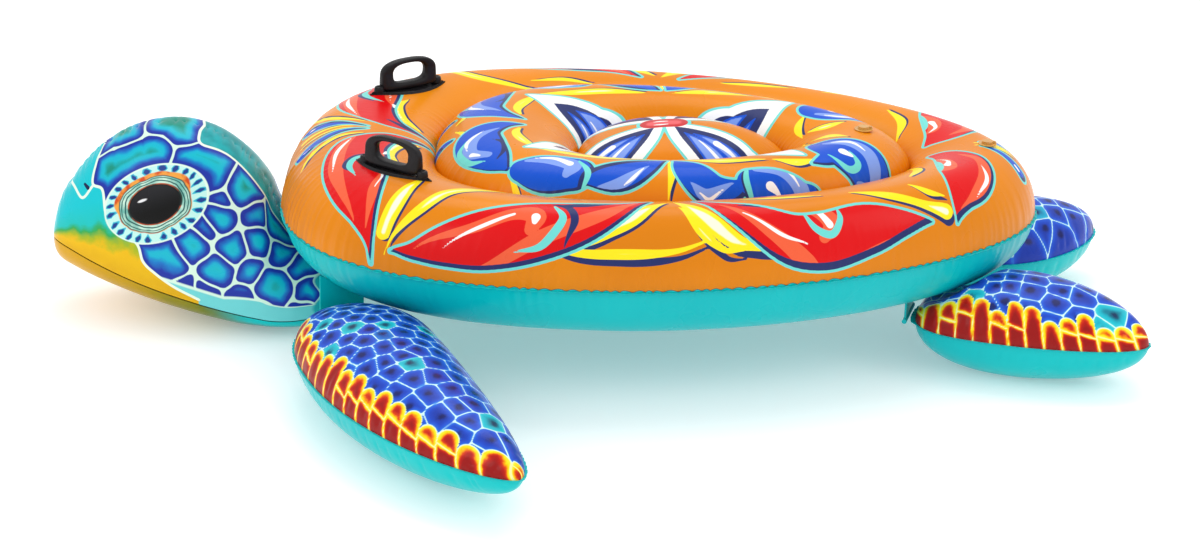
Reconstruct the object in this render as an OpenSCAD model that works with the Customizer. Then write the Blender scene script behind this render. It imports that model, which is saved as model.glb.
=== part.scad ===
// Inflatable ride-on pool float in the shape of a sea turtle.
// Millimetres, +Z up, -X towards the head, origin on the floor under the middle of the float.

/* [Shell] */
// Length of the shell between its end seams
shell_length = 1220; // [1180:10:1240]
// Width of the shell between its side seams
shell_width = 800; // [780:10:820]
// Share of the shell's length that lies ahead of its widest station
front_share = 0.42; // [0.40:0.01:0.44]
// Height of the shell's seam above the floor
seam_height = 204; // [202:1:210]
// Height of the outer ring's crown above the floor
outer_crown = 318; // [312:1:322]
// Height of the inner ring's crown above the floor
inner_crown = 337; // [332:1:340]
// Height of the middle dome's crown above the floor
dome_crown = 341; // [336:1:345]
// Height of the welded grooves in the top
top_groove = 268; // [262:1:274]
// Height of the shell's underside above the floor
belly = 118; // [116:1:122]
// Height of the welded grooves in the underside
belly_groove = 152; // [148:1:158]

/* [Sheets] */
// Thickness that stands for the thin vinyl sheet
wall = 5; // [4:0.5:6]
// Width of the welded lip outside each seam
lip = 8; // [6:1:10]
// Thickness of one sheet in the welded lip
lip_wall = 1.5; // [1:0.1:2]

/* [Flippers] */
// Length of a front flipper from its hinge weld to its tip
front_flipper_length = 617; // [590:1:625]
// Width of a front flipper
front_flipper_width = 220; // [200:2:224]
// Length of a hind flipper
hind_flipper_length = 368; // [350:2:376]
// Width of a hind flipper
hind_flipper_width = 206; // [190:2:210]
// Height of a flipper's seam above the floor
flipper_seam = 80; // [78:1:82]

/* [Handles] */
// Length of a handle's base flange
handle_length = 140; // [136:1:144]
// Height of a handle above its flange
handle_height = 52; // [50:1:54]
// Width of a handle's grip
grip_width = 20; // [18:1:22]
// Angle between each handle and the float's length
handle_angle = 35; // [33:1:37]

/* [Valves] */
// Radius of a valve stem's bore
valve_bore = 4.8; // [4.7:0.05:4.9]

/* [Hidden] */
$fn = 48;

print_orange = [0.95, 0.58, 0.05];
teal = [0.03, 0.72, 0.72];
scale_blue = [0.10, 0.32, 0.75];
jaw_yellow = [0.86, 0.68, 0.05];
handle_black = [0.07, 0.06, 0.07];
clear_vinyl = [0.75, 0.78, 0.80];

// The shell's outline is an egg: a blunt front half and a pointed tail half.
shell_front = shell_length * front_share;
shell_tail = shell_length - shell_front;
front_power = 2.6;
tail_power = 1.74;
ring_centre = (shell_tail - shell_front) / 2;
ring_drift = 45;            // how far the rings' centre moves tailwards at the middle
outer_groove_at = 0.63;     // grooves and crowns, as shares of the way to the seam
inner_groove_at = 0.28;
crown_share = 0.54;         // where a ring's crown lies between its two edges
shell_steps = 64;
step_angle = 360 / shell_steps;

// The head's cross-sections: x, crest, mouth seam, throat, half width.
head_rows = [
    [-890, 119, 117, 115, 4],
    [-889, 126, 118, 106, 13],
    [-885, 152, 123, 92, 30],
    [-874, 190, 122, 80, 46],
    [-850, 228, 115, 69, 63],
    [-815, 268, 103, 56, 81],
    [-770, 300, 88, 42, 98],
    [-720, 317, 73, 28, 112],
    [-670, 319, 60, 16, 122],
    [-620, 303, 49, 6, 131],
    [-575, 268, 41, 0, 138],
    [-543, 226, 36, 0, 141],
    [-528, 186, 34, 0, 142],
    [-506, 150, 33, 0, 141],
    [-480, 130, 34, 0, 137],
    [-440, 110, 38, 3, 122],
    [-412, 98, 44, 14, 96]
];
nose_x = head_rows[0][0];
side_steps = 9;
throat_steps = 10;
neck_hinge = [-398, 100];   // x and z of the neck's hinge weld

// A flipper: [root x, root y, heading, length, width, sideways bow, share of the length where it
// is widest, roundness of the root]
front_flipper = [-398, -240, -63, front_flipper_length, front_flipper_width, 33, 0.35, 3.3];
hind_flipper = [508, -152, -16.7, hind_flipper_length, hind_flipper_width, -26, 0.45, 2.5];
tip_power = 1.65;
flipper_steps = 28;
flipper_gap = 11;           // gap between the shell and a flipper that is pressed flat under it
flipper_sink = 4;           // how far the floor flattens a flipper's underside
bead = 4;                   // radius of a hinge weld's bead
bead_gap = 1.5;
weld_depth = 3;             // how far a hinge weld's web runs into the shell's sheet

valve_spots = [420, 622];   // x of the inner and the outer chamber's valve
handle_spot = [-326, 203];

// The whole float is moved along X so that its middle lies over the origin.
tail_x = max([for (k = [0:flipper_steps - 1])
    flipper_point(hind_flipper, edge_with_lip(hind_flipper, k * 360 / flipper_steps), 0)[0]]);
middle = -(nose_x + tail_x) / 2;

// ---- shared functions ----
function power(v, e) = (v < 0 ? -1 : 1) * pow(abs(v), e);
function arch(t) = sqrt(max(0, 1 - t * t));

// Triangles of a sheet swept round its outline: rings run from the outer pole to the inner pole.
function swept_faces(rings, n, flip) =
    let (last = rings * n + 1)
    [for (k = [0:rings], i = [0:n - 1])
        let (j = (i + 1) % n, a = (k - 1) * n + 1, b = k * n + 1,
             t = k == 0 ? [[0, b + j, b + i]]
               : k == rings ? [[a + i, a + j, last]]
               : [[a + i, a + j, b + j], [a + i, b + j, b + i]])
        each [for (f = t) flip ? [f[2], f[1], f[0]] : f]];

module swept_sheet(poles, rings, flip = false) {
    polyhedron(
        points = [poles[0], for (r = rings) each r, poles[1]],
        faces = swept_faces(len(rings), len(rings[0]), flip));
}

// A thick patch between an outer and an inner grid of points with the same shape.
module patch(outer, inner) {
    rows = len(outer);
    cols = len(outer[0]);
    size = rows * cols;
    skin = [for (i = [0:rows - 2], j = [0:cols - 2])
        let (a = i * cols + j, b = a + 1, c = a + cols, d = c + 1)
        each [[a, b, d], [a, d, c], [size + d, size + b, size + a], [size + c, size + d, size + a]]];
    ends = [for (j = [0:cols - 2])
        let (a = j, b = j + 1, c = (rows - 1) * cols + j, d = c + 1)
        each [[b, a, size + a], [b, size + a, size + b], [c, d, size + d], [c, size + d, size + c]]];
    sides = [for (i = [0:rows - 2])
        let (a = i * cols, b = a + cols, c = a + cols - 1, d = b + cols - 1)
        each [[a, b, size + b], [a, size + b, size + a], [d, c, size + c], [d, size + c, size + d]]];
    polyhedron(points = [for (r = outer) each r, for (r = inner) each r], faces = concat(skin, ends, sides));
}

// ---- shell ----
function shell_edge(a) =
    let (ahead = cos(a) < 0, e = 2 / (ahead ? front_power : tail_power))
    [(ahead ? shell_front : shell_tail) * power(cos(a), e), shell_width / 2 * power(sin(a), e)];

// The point at a share s of the way from the rings' centre to the seam.
function shell_plan(a, s) =
    let (p = shell_edge(a))
    [ring_centre + ring_drift * max(0, 1 - s) + s * (p[0] - ring_centre), s * p[1]];

// Height across one ring: it swells from each edge to its crown.
function swell(s, from, to, z_from, z_crown, z_to) =
    let (u = (s - from) / (to - from))
    u < crown_share
        ? z_from + (z_crown - z_from) * arch(1 - u / crown_share)
        : z_to + (z_crown - z_to) * arch((u - crown_share) / (1 - crown_share));

function top_height(s) =
    s >= outer_groove_at ? swell(s, outer_groove_at, 1, top_groove, outer_crown, seam_height)
    : s >= inner_groove_at ? swell(s, inner_groove_at, outer_groove_at, top_groove, inner_crown, top_groove)
    : top_groove + (dome_crown - top_groove) * arch(s / inner_groove_at);

function belly_height(s) =
    s >= outer_groove_at ? swell(s, outer_groove_at, 1, belly_groove, belly, seam_height)
    : s >= inner_groove_at ? swell(s, inner_groove_at, outer_groove_at, belly_groove, belly, belly_groove)
    : belly_groove + (belly - belly_groove) * arch(s / inner_groove_at);

top_shares = [0.1, 0.19, 0.25, inner_groove_at, 0.31, 0.36, 0.44, 0.53, 0.59, outer_groove_at,
              0.66, 0.71, 0.77, 0.83, 0.89, 0.94, 0.975];
belly_shares = [0.14, 0.24, inner_groove_at, 0.33, 0.45, 0.58, outer_groove_at, 0.68, 0.77, 0.86, 0.94, 0.98];

function shell_ring(s, z, out = 0) =
    [for (k = [0:shell_steps - 1])
        let (a = (k + 0.5) * step_angle, p = shell_plan(a, s), q = shell_edge(a), d = norm(q))
        [p[0] + out * q[0] / d, p[1] + out * q[1] / d, z]];

// side is 1 for the sheet above the seam and -1 for the one below it.
module shell_sheet(shares, side) {
    height = [for (s = shares) side > 0 ? top_height(s) : belly_height(s)];
    crown = side > 0 ? dome_crown : belly;
    swept_sheet(
        [[ring_centre + ring_drift, 0, crown], [ring_centre + ring_drift, 0, crown - side * wall]],
        [for (k = [0:len(shares) - 1]) shell_ring(shares[k], height[k]),
         shell_ring(1, seam_height + side * lip_wall),
         shell_ring(1, seam_height + side * lip_wall, lip),
         shell_ring(1, seam_height, lip),
         shell_ring(1, seam_height, -wall),
         for (k = [len(shares) - 1:-1:0])
             shell_ring(shares[k], height[k] - side * wall, shares[k] > 0.9 ? -wall : 0)],
        flip = side < 0);
}

module shell_top_sheet() {
    color(print_orange) difference() {
        shell_sheet(top_shares, 1);
        for (x = valve_spots) translate([x, 0, 0]) cylinder(r = seat_sleeve + 0.6, h = 2 * dome_crown);
    }
}

module shell_bottom_sheet() { color(teal) shell_sheet(belly_shares, -1); }

// A web that ties a top groove to the groove below it.
module baffle(share, bottom, top) {
    thin = 0.004;
    translate([0, 0, bottom]) linear_extrude(top - bottom) difference() {
        polygon([for (p = shell_ring(share + thin, 0)) [p[0], p[1]]]);
        polygon([for (p = shell_ring(share - thin, 0)) [p[0], p[1]]]);
    }
}

module outer_baffle() {
    color(teal) baffle(outer_groove_at, belly_groove + wall, top_groove - wall);
}

// Air passes between the dome and the inner ring through four holes.
module inner_baffle() {
    hole = 14;
    reach = shell_length / 4;
    color(teal) difference() {
        baffle(inner_groove_at, belly_groove + wall, top_groove - wall);
        translate([ring_centre + ring_drift, 0, (top_groove + belly_groove) / 2]) for (a = [45:90:315])
            rotate([0, 90, a]) cylinder(r = hole, h = reach);
    }
}

// ---- head ----
// A side panel runs from the crest down to the mouth seam; inset moves it inwards.
function side_point(row, t, inset) =
    let (w = row[4] - inset, high = row[1] - inset - row[2])
    [row[0], -w * power(sin(90 * t), 0.85), row[2] + high * power(cos(90 * t), 0.85)];

// Each panel's seam edge carries a short lip, so the panels meet face to face.
function side_row(row, inset) =
    [for (k = [0:side_steps]) side_point(row, k / side_steps * 0.985, min(inset, row[4] * 0.4))];

module head_side() {
    patch([for (r = head_rows) side_row(r, 0)], [for (r = head_rows) side_row(r, wall)]);
}

module head_left_panel() { color(scale_blue) translate([0, -0.2, 0]) head_side(); }
module head_right_panel() { color(scale_blue) mirror([0, 1, 0]) translate([0, -0.2, 0]) head_side(); }

// The throat panel hangs between the two mouth seams and lies on the floor under the neck.
function throat_row(row, inset) =
    let (thick = min(inset, (row[2] - row[3]) * 0.45), gap = 0.4)
    [for (k = [0:throat_steps])
        let (t = -1 + 2 * k / throat_steps, w = row[4] - (inset > 0 ? thick : 0),
             drop = row[2] - row[3] - gap - thick)
        [row[0], w * t, row[2] - gap - drop * arch(power(t, 1.2) * (inset > 0 ? 1 : 0.999))]];

module head_throat_panel() {
    color(jaw_yellow) patch([for (r = head_rows) throat_row(r, 0)], [for (r = head_rows) throat_row(r, wall)]);
}

// The panel that closes the head's chamber at the back of the neck.
module neck_panel() {
    row = head_rows[len(head_rows) - 1];
    side = side_row(row, 0);
    throat = throat_row(row, 0);
    color(teal) translate([row[0], 0, 0]) rotate([90, 0, 90]) linear_extrude(wall) polygon(concat(
        [for (p = side) [p[1], p[2]]],
        [for (p = throat) [p[1], p[2]]],
        [for (k = [len(side) - 1:-1:0]) [-side[k][1], side[k][2]]]));
}

// A bead on the hinge line with a web that rises into the shell's underside, whose two ends
// are as high as the sheet is there.
module hinge_tab(width, rise) {
    web = 3;
    rotate([90, 0, 0]) cylinder(r = bead, h = width + 2 * bead, center = true);
    translate([web / 2, 0, 0]) rotate([90, 0, -90]) linear_extrude(web)
        polygon([[-width / 2, 0], [width / 2, 0], [width / 2, rise[1]], [-width / 2, rise[0]]]);
}

module neck_hinge_tab() {
    rise = belly + weld_depth - neck_hinge[1];
    color(teal) translate([neck_hinge[0], 0, neck_hinge[1]]) hinge_tab(150, [rise, rise]);
}

// ---- flippers ----
function flipper_edge(f, a) =
    let (tip = cos(a) > 0, e = 2 / (tip ? tip_power : f[7]), m = f[3] * f[6])
    [(tip ? f[3] - m : m) * power(cos(a), e), f[4] / 2 * power(sin(a), e)];
function edge_with_lip(f, a) = let (p = flipper_edge(f, a), d = norm(p)) p * (1 + lip / d);

// A point given from the flipper's middle, moved into the float's own frame.
function flipper_point(f, q, z) =
    let (u = q[0] + f[3] * f[6], t = u / f[3], v = q[1] - 4 * f[5] * t * (1 - t))
    [f[0] + u * cos(f[2]) - v * sin(f[2]), f[1] + u * sin(f[2]) + v * cos(f[2]), z];

// How far out under the shell a point lies: 1 at the seam.
function shell_share(p) =
    let (ahead = p[0] < 0, n = ahead ? front_power : tail_power)
    pow(pow(abs(p[0]) / (ahead ? shell_front : shell_tail), n) + pow(abs(p[1]) * 2 / shell_width, n), 1 / n);

// The shell presses a flipper's root down, and the floor flattens its underside.
function flipper_ring(f, s, side, shrink) =
    [for (k = [0:flipper_steps - 1])
        let (q = flipper_edge(f, k * 360 / flipper_steps) * s * shrink,
             inset = shrink < 1 ? wall : 0,
             out = shell_share(flipper_point(f, q, 0)),
             ceiling = out < 1 ? belly_height(out) - flipper_gap : seam_height,
             z = side > 0 ? min(flipper_seam * (1 + arch(s) * shrink), ceiling - inset)
                 : max(flipper_seam - (flipper_seam + flipper_sink) * arch(s) * shrink, inset))
        flipper_point(f, q, z)];
function lip_ring(f, z, scale) =
    [for (k = [0:flipper_steps - 1])
        let (a = k * 360 / flipper_steps)
        flipper_point(f, scale < 1 ? flipper_edge(f, a) * scale : scale > 1 ? edge_with_lip(f, a)
            : flipper_edge(f, a), z)];

flipper_shares = [0.29, 0.5, 0.7, 0.85, 0.95];

module flipper_sheet(f, side) {
    shrink = 1 - 2 * wall / f[4];
    crown = side > 0 ? 2 * flipper_seam : 0;
    swept_sheet(
        [flipper_point(f, [0, 0], crown), flipper_point(f, [0, 0], crown - side * wall)],
        [for (s = flipper_shares) flipper_ring(f, s, side, 1),
         lip_ring(f, flipper_seam + side * lip_wall, 1),
         lip_ring(f, flipper_seam + side * lip_wall, 2),
         lip_ring(f, flipper_seam, 2),
         lip_ring(f, flipper_seam, shrink),
         for (k = [len(flipper_shares) - 1:-1:0]) flipper_ring(f, flipper_shares[k], side, shrink)],
        flip = side < 0);
}

module flipper_top(f) { color(scale_blue) flipper_sheet(f, 1); }
module flipper_bottom(f) { color(teal) flipper_sheet(f, -1); }
// shares says how far out from the rings' centre the tab's two ends lie under the shell.
module flipper_hinge_tab(f, shares) {
    back = lip + bead + bead_gap;
    rise = [for (s = shares) belly_height(s) + weld_depth - flipper_seam];
    color(teal) translate([f[0] - back * cos(f[2]), f[1] - back * sin(f[2]), flipper_seam])
        rotate([0, 0, f[2]]) hinge_tab(f[4] / 3, rise);
}
front_tab_shares = [0.86, 0.965];
hind_tab_shares = [0.8, 0.8];
module on_right() { mirror([0, 1, 0]) children(); }

// ---- handles ----
flange_thick = 3;
flange_width = 46;
block_height = 13;
arch_foot = 106;
opening_length = 56;
opening_top = 44;

// The flange is a long oval with pointed ends: two circles that cross.
module flange_shape() {
    r = (pow(handle_length / 2, 2) + pow(flange_width / 2, 2)) / flange_width;
    intersection_for (side = [-1, 1]) translate([0, side * (r - flange_width / 2)]) circle(r = r, $fn = 96);
}

module arch_shape() {
    shoulder = 25;
    difference() {
        union() {
            for (x = [-1, 1]) translate([x * (arch_foot / 2 - shoulder), handle_height - shoulder])
                circle(r = shoulder);
            translate([-arch_foot / 2 + shoulder, 0]) square([arch_foot - 2 * shoulder, handle_height]);
            translate([-arch_foot / 2, 0]) square([arch_foot, handle_height - shoulder]);
        }
        finger_gap_shape();
    }
}

module finger_gap_shape() {
    r = (opening_top - block_height) / 2;
    for (x = [-1, 1]) translate([x * (opening_length / 2 - r), block_height + r]) circle(r = r);
    translate([-opening_length / 2 + r, block_height]) square([opening_length - 2 * r, 2 * r]);
}

module handle() {
    color(handle_black) {
        linear_extrude(flange_thick) flange_shape();
        translate([0, grip_width / 2, 0]) rotate([90, 0, 0]) linear_extrude(grip_width) arch_shape();
        for (x = [-1, 1]) translate([x * (arch_foot / 2 + 3), 0, 0]) cylinder(r = 8, h = 11);
    }
}

handle_lift = outer_crown + 1.4;
module place_handle() {
    translate([handle_spot[0], handle_spot[1], handle_lift]) rotate([0, 0, handle_angle]) children();
}
module right_handle() { place_handle() handle(); }
module left_handle() { on_right() right_handle(); }
// The welded patch under a handle, a little larger than its flange.
module right_handle_patch() {
    color(handle_black) place_handle() translate([0, 0, -1.2]) scale(1.06) linear_extrude(1) flange_shape();
}
module left_handle_patch() { on_right() right_handle_patch(); }

// ---- valves ----
seat_sleeve = 8.6;
seat_bore = 7.1;
seat_radius = 15;
seat_depth = 14;
stem_radius = 6.6;
stem_depth = 34;
rim_radius = 9.5;
rim_thick = 2;
cap_gap = 0.15;
cap_radius = 8.5;
cap_thick = 1.8;
plug_length = 3.2;
cap_hinge = 12.6;
flap_radius = 6;
flap_thick = 0.8;

module at_valve(k) {
    z = k == 0 ? inner_crown : outer_crown;
    translate([valve_spots[k], 0, z + 0.6]) children();
}

module valve_seat() {
    color(clear_vinyl) rotate_extrude() polygon([
        [seat_bore, -seat_depth], [seat_sleeve, -seat_depth], [seat_sleeve, 0],
        [seat_radius, 0], [seat_radius, 1], [seat_bore, 1]]);
}

// The stem slides in the seat; its rim rests on the seat and a bead stops it coming out.
module valve_stem() {
    color(clear_vinyl) {
        rotate_extrude() polygon([
            [valve_bore, -stem_depth], [seat_sleeve - 0.4, -stem_depth], [seat_sleeve - 0.4, 2 - stem_depth],
            [stem_radius, 2 - stem_depth], [stem_radius, 1.15], [rim_radius, 1.15],
            [rim_radius, 1.15 + rim_thick], [valve_bore, 1.15 + rim_thick]]);
        translate([stem_radius, -3, 1.15]) cube([cap_hinge + 1 - stem_radius, 6, rim_thick]);
    }
}

// The cap's plug closes the bore, and its strap ends in a bead on the hinge line.
module valve_cap() {
    base = 1.15 + rim_thick + cap_gap;
    color(clear_vinyl) {
        translate([0, 0, base]) cylinder(r = cap_radius, h = cap_thick);
        translate([0, 0, base - plug_length]) cylinder(r1 = valve_bore - 1.4, r2 = valve_bore - 0.6, h = plug_length);
        translate([cap_radius - 1, -2, base]) cube([cap_hinge - cap_radius + 1, 4, cap_thick]);
        translate([cap_hinge, 0, base + cap_thick / 2]) rotate([90, 0, 0])
            cylinder(r = cap_thick / 2, h = 5, center = true);
    }
}

// The flap under the stem lets air in and closes against its end.
module valve_flap() {
    color(clear_vinyl) {
        translate([0, 0, -stem_depth - 0.15 - flap_thick]) cylinder(r = flap_radius, h = flap_thick);
        translate([-flap_radius - 1, 0, -stem_depth - 0.15 - flap_thick / 2]) rotate([90, 0, 0])
            cylinder(r = flap_thick / 2, h = 4, center = true);
        translate([-flap_radius - 1, -1.5, -stem_depth - 0.15 - flap_thick]) cube([2, 3, flap_thick]);
    }
}

translate([middle, 0, 0]) {
    shell_top_sheet();
    shell_bottom_sheet();
    outer_baffle();
    inner_baffle();
    head_left_panel();
    head_right_panel();
    head_throat_panel();
    neck_panel();
    neck_hinge_tab();
    flipper_top(front_flipper);  // front_left_flipper_top
    flipper_bottom(front_flipper);  // front_left_flipper_bottom
    flipper_hinge_tab(front_flipper, front_tab_shares);  // front_left_hinge_tab
    on_right() flipper_top(front_flipper);  // front_right_flipper_top
    on_right() flipper_bottom(front_flipper);  // front_right_flipper_bottom
    on_right() flipper_hinge_tab(front_flipper, front_tab_shares);  // front_right_hinge_tab
    flipper_top(hind_flipper);  // hind_left_flipper_top
    flipper_bottom(hind_flipper);  // hind_left_flipper_bottom
    flipper_hinge_tab(hind_flipper, hind_tab_shares);  // hind_left_hinge_tab
    on_right() flipper_top(hind_flipper);  // hind_right_flipper_top
    on_right() flipper_bottom(hind_flipper);  // hind_right_flipper_bottom
    on_right() flipper_hinge_tab(hind_flipper, hind_tab_shares);  // hind_right_hinge_tab
    left_handle();
    left_handle_patch();
    right_handle();
    right_handle_patch();
    at_valve(0) valve_seat();  // inner_valve_seat
    at_valve(0) valve_stem();  // inner_valve_stem
    at_valve(0) valve_cap();  // inner_valve_cap
    at_valve(0) valve_flap();  // inner_valve_flap
    at_valve(1) valve_seat();  // outer_valve_seat
    at_valve(1) valve_stem();  // outer_valve_stem
    at_valve(1) valve_cap();  // outer_valve_cap
    at_valve(1) valve_flap();  // outer_valve_flap
}
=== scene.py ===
import math

import bpy
import numpy as np
from mathutils import Matrix, Vector


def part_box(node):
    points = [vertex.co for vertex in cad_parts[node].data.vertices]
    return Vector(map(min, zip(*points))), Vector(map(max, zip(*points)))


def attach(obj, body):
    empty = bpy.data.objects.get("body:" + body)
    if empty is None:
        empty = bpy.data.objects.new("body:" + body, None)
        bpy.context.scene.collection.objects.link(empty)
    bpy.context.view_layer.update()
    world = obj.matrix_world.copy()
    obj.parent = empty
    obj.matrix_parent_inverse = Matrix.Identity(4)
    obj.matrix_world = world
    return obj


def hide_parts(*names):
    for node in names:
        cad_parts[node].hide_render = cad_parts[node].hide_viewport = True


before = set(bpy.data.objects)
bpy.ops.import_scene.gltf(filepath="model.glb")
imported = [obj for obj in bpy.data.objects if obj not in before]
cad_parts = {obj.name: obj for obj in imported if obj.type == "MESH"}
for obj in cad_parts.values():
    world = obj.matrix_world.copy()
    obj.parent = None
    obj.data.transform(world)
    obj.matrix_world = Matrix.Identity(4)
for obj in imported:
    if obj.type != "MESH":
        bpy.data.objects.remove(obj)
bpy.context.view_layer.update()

# Lengths below are millimetres in the design's own frame; place() turns them into metres in the
# shared frame, whose origin lies under the middle of the whole float.
MM = 0.001
VALVE_X = 420
SHIFT = 500 * (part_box("inner_valve_seat")[0][0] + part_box("inner_valve_seat")[1][0]) - VALVE_X

# Shell: an egg outline with an outer ring, an inner ring and a dome
SHELL_FRONT = 512.4
SHELL_TAIL = 707.6
SHELL_HALF_WIDTH = 400
FRONT_POWER = 2.6
TAIL_POWER = 1.74
RING_CENTRE = 97.6
RING_DRIFT = 45
OUTER_GROOVE = 0.63
INNER_GROOVE = 0.28
CROWN_SHARE = 0.54
SEAM_Z = 204
TOP_GROOVE_Z = 268
OUTER_CROWN_Z = 318
INNER_CROWN_Z = 337
DOME_CROWN_Z = 341
BELLY_Z = 118
BELLY_GROOVE_Z = 152
SHELL_LIP = 5

# Flippers: root x, root y, heading, length, width, bow, widest share, roundness of the root
FRONT_FLIPPER = (-398, -240, -63, 617, 220, 33, 0.35, 3.3)
HIND_FLIPPER = (508, -152, -16.7, 368, 206, -26, 0.45, 2.5)
TIP_POWER = 1.65
FLIPPER_SEAM_Z = 80
FLIPPER_SINK = 4
FLIPPER_GAP = 11
FLIPPER_LIP = 4
ROOT_LIP = 7.6  # the lip reaches further where the hinge tab holds it

# Head: x, crest, mouth seam, throat and half width of each cross-section
HEAD_ROWS = np.array((
    (-890, 119, 117, 115, 4),
    (-889, 126, 118, 106, 13),
    (-885, 152, 123, 92, 30),
    (-874, 190, 122, 80, 46),
    (-850, 228, 115, 69, 63),
    (-815, 268, 103, 56, 81),
    (-770, 300, 88, 42, 98),
    (-720, 317, 73, 28, 112),
    (-670, 319, 60, 16, 122),
    (-620, 303, 49, 6, 131),
    (-575, 268, 41, 0, 138),
    (-543, 226, 36, 0, 141),
    (-528, 186, 34, 0, 142),
    (-506, 150, 33, 0, 141),
    (-480, 130, 34, 0, 137),
    (-440, 110, 38, 3, 122),
    (-412, 98, 44, 14, 96),
), float)
HEAD_ROUNDNESS = 0.85

# Handles
HANDLE_SPOT = (-326, 203)
HANDLE_TURN = 35
HANDLE_LIFT = OUTER_CROWN_Z + 1.4
HANDLE_LENGTH = 140
HANDLE_FLANGE_WIDTH = 46
PATCH_SCALE = 1.06
BOSS_SPOT = 56
BOSS_PROFILE = ((9, 1), (8.6, 6), (7.8, 9.5), (6.2, 11), (4.2, 11), (3.6, 9.5), (0.1, 9.4))  # radius, height
# Across a flange: share of its half width, and height in thicknesses
FLANGE_PROFILE = ((-1, -2.4), (-1, 0.5), (-0.97, 0.9), (-0.9, 1), (-0.82, 0.72), (-0.4, 0.7), (0, 0.7),
                  (0.4, 0.7), (0.82, 0.72), (0.9, 1), (0.97, 0.9), (1, 0.5), (1, -2.4))

FAR = 40.0  # distances are not worked out beyond this


def arch(t):
    return np.sqrt(np.maximum(0, 1 - t * t))


def signed_power(v, e):
    return np.sign(v) * np.abs(v) ** e


def unit(v):
    return v / np.maximum(np.linalg.norm(v, axis=-1, keepdims=True), 1e-9)


def place(points):
    """Millimetres in the design's frame to metres in the shared frame."""
    moved = np.array(points, float)
    moved[..., 0] += SHIFT
    return moved * MM


def smooth_curve(points, steps):
    """A Catmull-Rom curve through the rows of points, which may carry extra columns."""
    p = np.array(points, float)
    p = np.vstack((2 * p[0] - p[1], p, 2 * p[-1] - p[-2]))
    t = np.linspace(0, 1, steps, endpoint=False)[:, None]
    parts = []
    for a, b, c, d in zip(p[:-3], p[1:-2], p[2:-1], p[3:]):
        parts.append(0.5 * (2 * b + (c - a) * t + (2 * a - 5 * b + 4 * c - d) * t ** 2
                            + (3 * b - a - 3 * c + d) * t ** 3))
    return np.vstack(parts + [p[-2:-1]])


# ---- meshes ----
def mesh_piece(name, points, faces, body, material, layers=None):
    """A smooth mesh piece that rides on a body; layers are painted distances, one per point."""
    mesh = bpy.data.meshes.new(name)
    mesh.from_pydata(place(points).tolist(), [], faces)
    mesh.materials.append(material)
    mesh.polygons.foreach_set("use_smooth", [True] * len(mesh.polygons))
    for key, values in (layers or {}).items():
        mesh.attributes.new(key, "FLOAT", "POINT").data.foreach_set("value", values.ravel())
    mesh.update()
    piece = bpy.data.objects.new(name, mesh)
    bpy.context.scene.collection.objects.link(piece)
    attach(piece, body)
    return piece


def grid_faces(rows, cols, closed=False, flip=False):
    """Quads between neighbouring rows and columns; closed joins the last column to the first."""
    i, j = np.meshgrid(np.arange(rows - 1), np.arange(cols if closed else cols - 1), indexing="ij")
    k = (j + 1) % cols
    quads = np.stack((i * cols + j, i * cols + k, (i + 1) * cols + k, (i + 1) * cols + j), -1)
    quads = quads.reshape(-1, 4)
    return (quads[:, ::-1] if flip else quads).tolist()


def grid_piece(name, grid, body, material, layers=None, closed=False, flip=False):
    rows, cols = grid.shape[:2]
    faces = grid_faces(rows, cols, closed, flip)
    return mesh_piece(name, grid.reshape(-1, 3), faces, body, material, layers)


def mirrored(grid):
    return grid * np.array((1, -1, 1))


def on_side(grid, mirror):
    """Points of the left side, or the same on the right side."""
    return mirrored(grid) if mirror else grid


def grid_normals(grid, closed=False):
    """Unit normals of a grid of points, to the left of its rows as seen along its columns."""
    along = np.gradient(grid, axis=0)
    if closed:
        across = np.roll(grid, -1, axis=1) - np.roll(grid, 1, axis=1)
    else:
        across = np.gradient(grid, axis=1)
    return unit(np.cross(along, across))


def outward_normals(grid, inner, closed=False):
    """Grid normals turned to point away from the places in inner."""
    normals = grid_normals(grid, closed)
    return normals * np.sign(((grid - inner) * normals).sum(-1, keepdims=True))


def creases(run, length, count, width, seed, deepest):
    """Random narrow folds along a seam, as a depth for each place on its run."""
    rng = np.random.default_rng(seed)
    depth = np.zeros_like(run)
    for spot in (np.arange(count) + rng.uniform(-0.35, 0.35, count)) * length / count:
        apart = np.abs(run - spot)
        apart = np.minimum(apart, length - apart)
        depth += deepest * rng.uniform(0.25, 1) * np.exp(-(apart / (width * rng.uniform(0.7, 1.4))) ** 2)
    return depth


# ---- painted strokes ----
def stroke_distance(points, stroke):
    """Signed distance from points to a tapered stroke, given as x, y, z, radius along its spine."""
    reach = FAR + stroke[:, 3].max()
    low = stroke[:, :3].min(0) - reach
    high = stroke[:, :3].max(0) + reach
    near = np.flatnonzero(((points > low) & (points < high)).all(1))
    best = np.full(len(points), FAR)
    p = points[near]
    d = np.full(len(near), FAR)
    for a, b in zip(stroke[:-1], stroke[1:]):
        ab = b[:3] - a[:3]
        t = np.clip((p - a[:3]) @ ab / max(ab @ ab, 1e-6), 0, 1)
        off = p - a[:3] - t[:, None] * ab
        d = np.minimum(d, np.sqrt((off * off).sum(1)) - (a[3] + t * (b[3] - a[3])))
    best[near] = d
    return best


def paint_layers(points, print_strokes, lift):
    """One signed distance per colour layer: the smallest over that layer's strokes."""
    folded = points.copy()
    folded[:, 1] = -np.abs(folded[:, 1])
    layers = {}
    for key, strokes in print_strokes.items():
        d = np.full(len(points), FAR)
        for spine in strokes:
            d = np.minimum(d, stroke_distance(folded, lift(smooth_curve(spine, 7))))
        layers[key] = d
    return layers


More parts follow.
